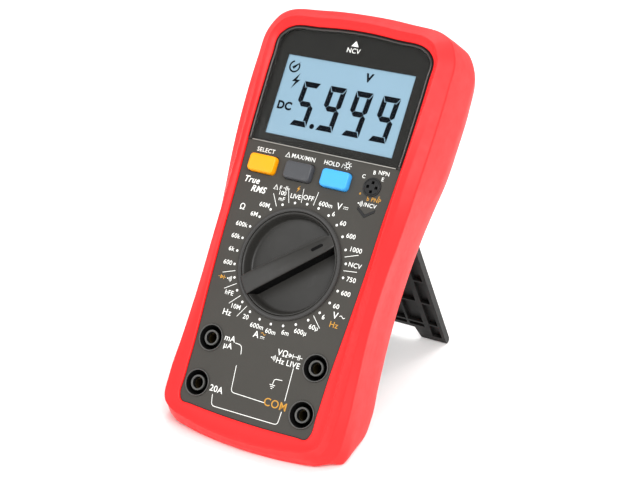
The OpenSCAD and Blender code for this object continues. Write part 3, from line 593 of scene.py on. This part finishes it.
white, amber = [], []
for i, label in enumerate(LABELS):
    a = bearing(i)
    c, s = math.cos(a), math.sin(a)
    white.append(disc(DOT_R * c, DOT_R * s, DOT_SIZE))
    if i in DIVIDERS:
        b = bearing(i + 0.5)
        ends = (25.4, 31.2) if i in TOP_DIVIDERS else (24.6, 30.6)
        white.append(line([(r * math.cos(b), r * math.sin(b)) for r in ends], THIN))
    if label:
        words, dx, dy = label
        white.append(text(words, DOT_R * c + dx, DOT_R * s + dy, LABEL_CAP))
white += [
    text("OFF", -0.2, 27.8, 1.9), text("LIVE", -6.1, 27.2, 1.9, spacing=0.98),
    text("mF", -12.1, 25.0, 1.6), text("100", -12.4, 27.4, 1.7, spacing=1.0), text("F", -14.0, 29.3, 1.7),
    text("True", -28.2, 30.1, 2.5, 0.022, 0.25), text("RMS", -23.9, 26.7, 2.5, 0.022, 0.25),
    text("SELECT", -26.0, 43.2, 1.75), text("MAX/MIN", -7.9, 43.4, 1.75),
    text("HOLD /", 6.4, 43.6, 1.75), delta(-15.3, 43.3, 2.0),
    text("V", 14.4, 27.3, 2.6), text("V", 26.7, -15.1, 2.6), text("Ω", -29.0, 18.3, 2.4),
    text("A", -5.1, -30.7, 2.6), text("Hz", -21.2, -25.3, 2.4),
    text("mA", -16.1, -35.2, 2.4), text("µA", -16.1, -38.2, 2.3), text("20A", -15.4, -56.3, 2.5),
    text("VΩ", 9.0, -35.0, 2.4), text("Hz LIVE", 12.6, -38.2, 2.2),
    text("C", 21.1, 41.3, 1.5), text("B", 25.3, 43.6, 1.5), text("NPN", 29.4, 44.1, 1.6),
    text("E", 29.6, 41.6, 1.5), text("/NCV", 27.4, 30.3, 1.6), delta(-16.3, 29.2, 1.9),
]
amber += [
    text("COM", 12.4, -55.1, 3.1), text("Hz", 27.3, -18.8, 2.3),
    text("e", 21.7, 34.4, 1.3), text("c", 30.3, 34.4, 1.3), text("b PNP", 28.4, 32.8, 1.6),
    bolt(-5.9, 30.5, 3.0),
]
amber += diode(-28.4, -11.9, 1.1) + wave(-2.0, -29.8, 1.1)
white += sound(-24.8, -11.9, 0.95) + sound(23.0, 30.3, 0.95) + sound(5.6, -37.8, 0.95)
white += diode(13.0, -35.1, 1.1) + capacitor(16.6, -35.0, 1.1) + capacitor(-11.3, 29.6, 1.0)
white += direct(17.4, 27.1, 1.15) + wave(29.8, -15.1, 1.2) + direct(-2.0, -31.4, 1.05)
# A small sun beside HOLD, for the backlight
SUN_X, SUN_Y, SUN_STROKE = 12.8, 44.0, 0.3
white.append(line(arc(SUN_X, SUN_Y, 0.8, 0, 360, 16), SUN_STROKE))
for k in range(8):
    a = math.pi * k / 4
    white.append(line([(SUN_X + r * math.cos(a), SUN_Y + r * math.sin(a)) for r in (1.2, 1.75)], SUN_STROKE))
# Lines that lead from the jacks to COM
for path in (
        [(-13.2, -36.4), (-10.0, -36.6), (-9.2, -40.2)],
        [(-9.7, -44.9), (-8.6, -55.7), (7.4, -55.8)],
        [(-16.5, -58.7), (-15.5, -63.2), (15.9, -62.6), (16.1, -57.2)],
        [(15.6, -39.6), (16.1, -52.8)],
        [(8.7, -48.0), (8.8, -45.7), (12.4, -45.4)]):
    white.append(line(bent(path), THICK))
# The three bars of the earth sign
for y, half in ((-48.2, 1.3), (-48.9, 0.85), (-49.6, 0.4)):
    white.append(line([(8.7 - half, y), (8.7 + half, y)]))
piece("white_print", *joined(white), WHITE_INK, "panel_grey", smooth=10)
piece("amber_print", *joined(amber), AMBER_INK, "panel_grey", smooth=10)

# ---------------------------------------------------------------- display
LENS_TOP = 0.35
LCD_TOP = -1.75
MASK_TOP = -1.27
lens_print = [text("NCV", 0.2, 90.8, 2.0, z=LENS_TOP + 0.02),
              shape([(-1.5, 92.6), (1.9, 92.6), (0.2, 95.0)], LENS_TOP + 0.02)]
piece("lens_print", *joined(lens_print), WHITE_INK, "clear_window", smooth=10)

SEG_Z = LCD_TOP + 0.05
DIGIT_W, DIGIT_H, BAR_W, SPACE, SLANT = 8.0, 19.2, 2.3, 0.17, 0.062
DIGIT_FOOT = 56.1


def digit_bars():
    """The outline of each bar of a seven bar digit, by its usual letter."""
    w, h, t, g = DIGIT_W, DIGIT_H, BAR_W, SPACE
    mid, cut = h / 2, 0.55 * t
    upper, lower = mid + t / 2, mid - t / 2
    return {
        "a": [(g, h), (w - g, h), (w - cut - g, h - t), (cut + g, h - t)],
        "d": [(g, 0), (cut + g, t), (w - cut - g, t), (w - g, 0)],
        "f": [(0, h - 2 * g), (cut, h - t - 2 * g), (t, h - t - g), (t, upper + g), (cut, mid + g),
              (0, upper)],
        "b": [(w, h - 2 * g), (w, upper), (w - cut, mid + g), (w - t, upper + g), (w - t, h - t - g),
              (w - cut, h - t - 2 * g)],
        "c": [(w, 2 * g), (w - cut, t + 2 * g), (w - t, t + g), (w - t, lower - g), (w - cut, mid - g),
              (w, lower)],
        "g": [(cut, mid), (t, upper), (w - t, upper), (w - cut, mid), (w - t, lower), (t, lower)],
    }


bars = digit_bars()
dark_shapes = []
# Each digit's left side, and the bars it shows
for left, lit in ((-20.2, "afgcd"), (-7.7, "abcdfg"), (4.7, "abcdfg"), (17.2, "abcdfg")):
    for name in lit:
        dark_shapes.append(shape([(left + x + SLANT * y, DIGIT_FOOT + y) for x, y in bars[name]], SEG_Z))
dark_shapes += [
    disc(-9.6, 57.1, 1.1, SEG_Z),
    text("DC", -25.0, 63.6, 3.2, 0.045, z=SEG_Z),
    text("V", 9.8, 81.3, 3.3, 0.05, 0.12, z=SEG_Z),
    bolt(-23.2, 74.7, 7.2, SEG_Z),
    line(arc(-25.8, 80.6, 2.3, 105, 395, 24), 0.7, SEG_Z),
    shape([(-27.0, 80.3), (-25.9, 79.4), (-23.3, 82.9)], SEG_Z),
]
piece("lcd_segments", *joined(dark_shapes), SEGMENT, "display_glass", smooth=10)

# The dark printed border behind the lens, with an opening for the display
WINDOW_W, WINDOW_H, WINDOW_Y = 60.0, 34.5, 68.1
BORDER_FOOT, BORDER_T = 46.75, 0.28
LENS_FOOT = 46.6


def window_border():
    """A band between the display's opening and the lens's edge, with the opening's own sides."""
    edge = [p for p in outset(opening, -1.4) if p.y > BORDER_FOOT]
    right, left = [p for p in edge if p.x >= 0], [p for p in edge if p.x < 0]
    foot = [Vector((right[0].x - 0.05, BORDER_FOOT, 0)), Vector((left[-1].x + 0.05, BORDER_FOOT, 0))]
    outer = [foot[0]] + right + left + [foot[1]]
    inner = [(min(max(p.x, -WINDOW_W / 2), WINDOW_W / 2),
              min(max(p.y, WINDOW_Y - WINDOW_H / 2), WINDOW_Y + WINDOW_H / 2)) for p in outer]
    n = len(outer)
    verts = [(p.x, p.y, MASK_TOP) for p in outer]
    verts += [(x, y, z) for z in (MASK_TOP, MASK_TOP - BORDER_T) for x, y in inner]
    faces = [[k + i, k + (i + 1) % n, k + n + (i + 1) % n, k + n + i] for k in (0, n) for i in range(n)]
    return verts, faces


border = piece("window_border", *window_border(), MASK, "dark_plastic", smooth=20)
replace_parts(border, "window_mask")

# A light grey strip where the lens meets the label: a painted highlight on the lens's edge
LINE_PROFILE = ((46.62, 0.3), (46.68, 0.4), (46.92, 0.4), (46.98, 0.3))
lens_line = loft([[(x, y, z) for y, z in LINE_PROFILE] for x in (-33.9, -17, 0, 17, 33.9)],
                 around=False, caps=False)
piece("lens_edge", *lens_line, plastic("lens_edge_highlight", (150, 148, 142), 0.3, 0.3, 0.004, 0.05, 0.0),
      "clear_window", smooth=60)


def round_window(profile):
    """A strip of (distance from the opening, z) points that runs round the window, open at its foot."""
    loops = []
    for inset, z in profile:
        ring = [q for p, q in zip(opening, outset(opening, inset)) if p.y > LENS_FOOT]
        ring = [q for q in ring if q.x >= 0] + [q for q in ring if q.x < 0]
        loops.append([(q.x, q.y, z) for q in ring])
    return loft(loops, around=False, caps=False)


bead = [(-1.12 - 0.46 * math.cos(a), -0.3 + 1.1 * math.sin(a)) for a in (math.pi * k / 8 for k in range(9))]
piece("window_bead", *round_window(bead),
      plastic("bead_black", (40, 39, 37), 0.24, 0.3, 0.002, 0.03, 0.05, specular=0.6), "case_grey", smooth=70)
# A dark strip lying in the trench between the holster's lip and the bead: painted shadow in that gap
gap_shade = [(-0.02, 0.1), (-0.3, 0.56), (-0.62, 0.56), (-0.74, 0.1)]
piece("window_gap_shade", *round_window(gap_shade), SHADE_BLACK, "dark_plastic", smooth=70)


# ---------------------------------------------------------------- buttons
BUTTON_Y, BUTTON_W, BUTTON_H, BUTTON_CORNER = 37.3, 12.8, 7.6, 1.7
# Depth, and how much narrower the cap is there
BUTTON_PROFILE = ((-3.6, 0.0), (-0.2, 0.0), (0.9, 0.05), (1.7, 0.25), (2.15, 0.55), (2.38, 0.95),
                  (2.48, 1.5), (2.5, 2.4))
BUTTON_CROWN = 2.54


def button(name, node, x, look, slot, body):
    loops = []
    for z, less in BUTTON_PROFILE:
        corner = max(0.5, BUTTON_CORNER - less / 2)
        loops.append([(x + px, BUTTON_Y + py, z)
                      for px, py in rounded(BUTTON_W - less, BUTTON_H - less, corner)])
    loops.append([(x + px * 0.4, BUTTON_Y + py * 0.4, BUTTON_CROWN)
                  for px, py in rounded(BUTTON_W, BUTTON_H, BUTTON_CORNER)])
    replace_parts(piece(name, *loft(loops), look, slot, body, 60), node)


button("select_cap", "select_button", -25.2, YELLOW, "button_yellow", "select_key")
button("max_min_cap", "max_min_button", -7.8, GREY, "button_grey", "max_min_key")
button("hold_cap", "hold_button", 9.6, BLUE, "button_blue", "hold_key")

# ---------------------------------------------------------------- dial
DISH = [(0, -4.0), (18.3, -4.0), (18.9, -3.86), (19.3, -3.5), (19.6, -2.7), (20.1, -0.5), (20.35, 0.2),
        (20.55, 0.55), (20.8, 0.75), (21.1, 0.74), (21.3, 0.55), (21.38, 0.2), (21.38, -5.6), (0, -5.6)]
DIAL_RING = [(21.5, -5.0), (21.5, 0.5), (21.6, 0.78), (21.85, 0.95), (22.6, 0.98), (23.0, 0.85),
             (23.25, 0.55), (23.35, 0.0), (23.35, -0.3)]
BAR_R, BAR_TOP, BAR_FOOT, NECK = 21.25, 2.8, -4.5, 17.4
SLOT_X, SLOT_DEPTH, EDGE_DROP = 14.3, 0.9, 0.5
DIAL_PLACE = LOCAL @ Matrix.Rotation(bearing(POINTED_AT), 4, "Z")


def bar_half(s):
    """Half width of the grip bar at a distance along it."""
    return 3.77 - 0.0155 * s if s < NECK else 3.5 - 0.27 * (s - NECK)


def bar_outline(inset):
    """The bar in plan, counterclockwise, with its ends on the rim of the dial."""
    points = []
    reach = BAR_R - inset
    for sign in (1, -1):
        limit = math.asin((bar_half(sign * reach) - inset) / reach)
        neck = sign * NECK
        half = sign * (bar_half(neck) - inset)
        points.append((neck, -half))
        for k in range(9):
            a = -limit + 2 * limit * k / 8
            points.append((sign * reach * math.cos(a), sign * reach * math.sin(a)))
        points.append((neck, half))
    return points


def bar_top(s):
    """The bar's top slopes down at its two ends, more so where it points."""
    return BAR_TOP - 0.45 * max(0.0, s - NECK) - 0.16 * max(0.0, -s - NECK)


def bar_ring(inset, drop):
    """The bar's outline at a distance below its top."""
    return [(s, across, bar_top(s) - drop) for s, across in bar_outline(inset)]


def bar_foot(inset):
    return [(s, across, BAR_FOOT) for s, across in bar_outline(inset)]


def slot_block(w, h, corner, z_low, z_high):
    """A rounded block where the pointer's slot is."""
    return loft([[(SLOT_X + px, py, z) for px, py in rounded(w, h, corner)] for z in (z_low, z_high)])


def dial_piece(name, part, look=KNOB):
    return piece(name, *part, look, "knob_black", "selector", 40, DIAL_PLACE)


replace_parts(dial_piece("selector_knob", revolve(DISH)), "knob")
EDGE_PROFILE = ((0.0, EDGE_DROP), (0.05, 0.24), (0.18, 0.07), (0.42, 0.0))
grip = dial_piece("knob_grip", loft([bar_foot(0.0)] + [bar_ring(*step_in) for step_in in EDGE_PROFILE]))
# A slot near the end that points, cut into the bar; a near-black block laid in it below is painted shade at its
# floor
slot_cut = dial_piece("pointer_slot", slot_block(5.4, 1.3, 0.6, BAR_TOP - SLOT_DEPTH, BAR_TOP + 1), SHADE_BLACK)
# A dark sheet a hair outside the bar's sides: painted shade on them
dial_piece("grip_side_shade", loft([bar_foot(-0.02), bar_ring(-0.02, EDGE_DROP)], caps=False), SHADE_BLACK)
cut = grip.modifiers.new("pointer_slot", "BOOLEAN")
cut.operation = "DIFFERENCE"
cut.object = slot_cut
cut.solver = "EXACT"
bpy.context.view_layer.update()
cut_mesh = bpy.data.meshes.new_from_object(grip.evaluated_get(bpy.context.evaluated_depsgraph_get()))
grip.modifiers.clear()
grip.data = cut_mesh
bpy.data.objects.remove(slot_cut)
# A near-black block in the slot: painted shade at the slot's floor
dial_piece("pointer_slot_shade", slot_block(5.3, 1.2, 0.55, BAR_TOP - 1.0, BAR_TOP - 0.55), SHADE_BLACK)
bpy.data.objects.remove(glyph_object)

RING_LOOK = plastic("ring_black", (52, 51, 50), 0.34, 0.3, 0.01, 0.08, 0.3)
piece("dial_ring", *revolve(DIAL_RING, steps=128), RING_LOOK, "case_grey", smooth=50)

# ---------------------------------------------------------------- jacks
# Each part of a jack as (radius, z) points: outer rim, wall round the tube, tube and the hole's mouth
JACKS = [(side * 25.0, -y) for side in (-1, 1) for y in (37, 56)]
RIM = [(5.6, -0.3), (5.6, 0.34), (5.54, 0.52), (5.4, 0.58), (5.22, 0.5), (5.1, 0.2)]
FUNNEL = [(5.1, 0.2), (5.0, -0.1), (4.55, -1.3), (4.5, -8.4), (3.2, -8.4), (3.2, -0.9)]
TUBE = [(3.2, -0.9), (3.2, -0.4), (3.12, -0.24), (2.95, -0.2), (2.68, -0.2), (2.54, -0.26), (2.4, -0.45)]
MOUTH = [(2.4, -0.45), (2.12, -0.9), (2.1, -2.05)]
rims = piece("jack_rims", *joined([revolve(part, c, 64) for c in JACKS for part in (RIM, TUBE)]),
             JACK, "dark_plastic", smooth=50)
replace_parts(rims, "jack_sleeves")
# The funnels and mouths in near-black: painted shade deep inside the jacks, darker than the sleeve's own colour
piece("jack_wells", *joined([revolve(part, c, 64) for c in JACKS for part in (FUNNEL, MOUTH)]),
      SHADE_BLACK, "dark_plastic", smooth=45)

# ---------------------------------------------------------------- other CAD pieces
BEVELS = {
    "tilt_stand": 0.35, "battery_door": 0.35, "back_case": 0.15, "hfe_socket": 0.15,
    "ncv_window": 0.15, "case_screws": 0.15, "door_screw": 0.15,
}
for node, obj in frame["nodes"].items():
    obj.data.materials.clear()
    obj.data.materials.append(SLOT_LOOKS[slot_of[node]])
for node, width in BEVELS.items():
    obj = frame["nodes"][node]
    weld = obj.modifiers.new("weld", "WELD")
    weld.merge_threshold = 0.00001
    soften(obj, width, 2, 35)

# ---------------------------------------------------------------- stage
FLOOR = 6.0
floor_mesh = bpy.data.meshes.new("floor")
floor_corners = [(x * FLOOR, y * FLOOR, 0) for x, y in ((-1, -1), (1, -1), (1, 1), (-1, 1))]
floor_mesh.from_pydata(floor_corners, [], [(0, 1, 2, 3)])
floor = bpy.data.objects.new("floor", floor_mesh)
# A hair below the bench, so that it doesn't shimmer against faces that lie on it
floor.location.z = -0.1 * MM
scene.collection.objects.link(floor)
floor_mesh.materials.append(plastic("pale_floor", (244, 244, 243), 0.7, 2.0, 0.01, 0.01, 0.0, specular=0.2))

world = bpy.data.worlds.new("studio")
world.use_nodes = True
sky = world.node_tree.nodes["Background"]
sky.inputs["Color"].default_value = (1, 1, 1, 1)
sky.inputs["Strength"].default_value = 0.8
scene.world = world


def lamp(name, place, aim, side, power):
    """A square lamp that faces a point."""
    data = bpy.data.lights.new(name, "AREA")
    data.shape = "RECTANGLE"
    data.size = data.size_y = side
    data.energy = power
    obj = bpy.data.objects.new(name, data)
    obj.location = place
    obj.rotation_euler = (Vector(aim) - Vector(place)).to_track_quat("-Z", "Y").to_euler()
    scene.collection.objects.link(obj)


MIDDLE = (0, 0.03, 0.08)
lamp("key", (0.75, -0.55, 0.85), MIDDLE, 0.6, 13)
lamp("fill", (-0.7, -0.8, 0.5), MIDDLE, 0.7, 4)
lamp("top", (0.0, 0.5, 1.1), MIDDLE, 0.8, 8)

camera_data = bpy.data.cameras.new("camera")
camera_data.lens = 82.72
camera_data.sensor_width = 36.0
camera = bpy.data.objects.new("camera", camera_data)
camera.location = DIAL + Vector((0.2912, -0.4495, 0.2488))
# Looks along this line, tipped by a quarter of a degree about it
level = Vector((-0.4788, 0.7781, -0.4067)).to_track_quat("-Z", "Y")
camera.rotation_euler = (level @ Quaternion((0, 0, 1), math.radians(-0.25))).to_euler()
scene.collection.objects.link(camera)
scene.camera = camera
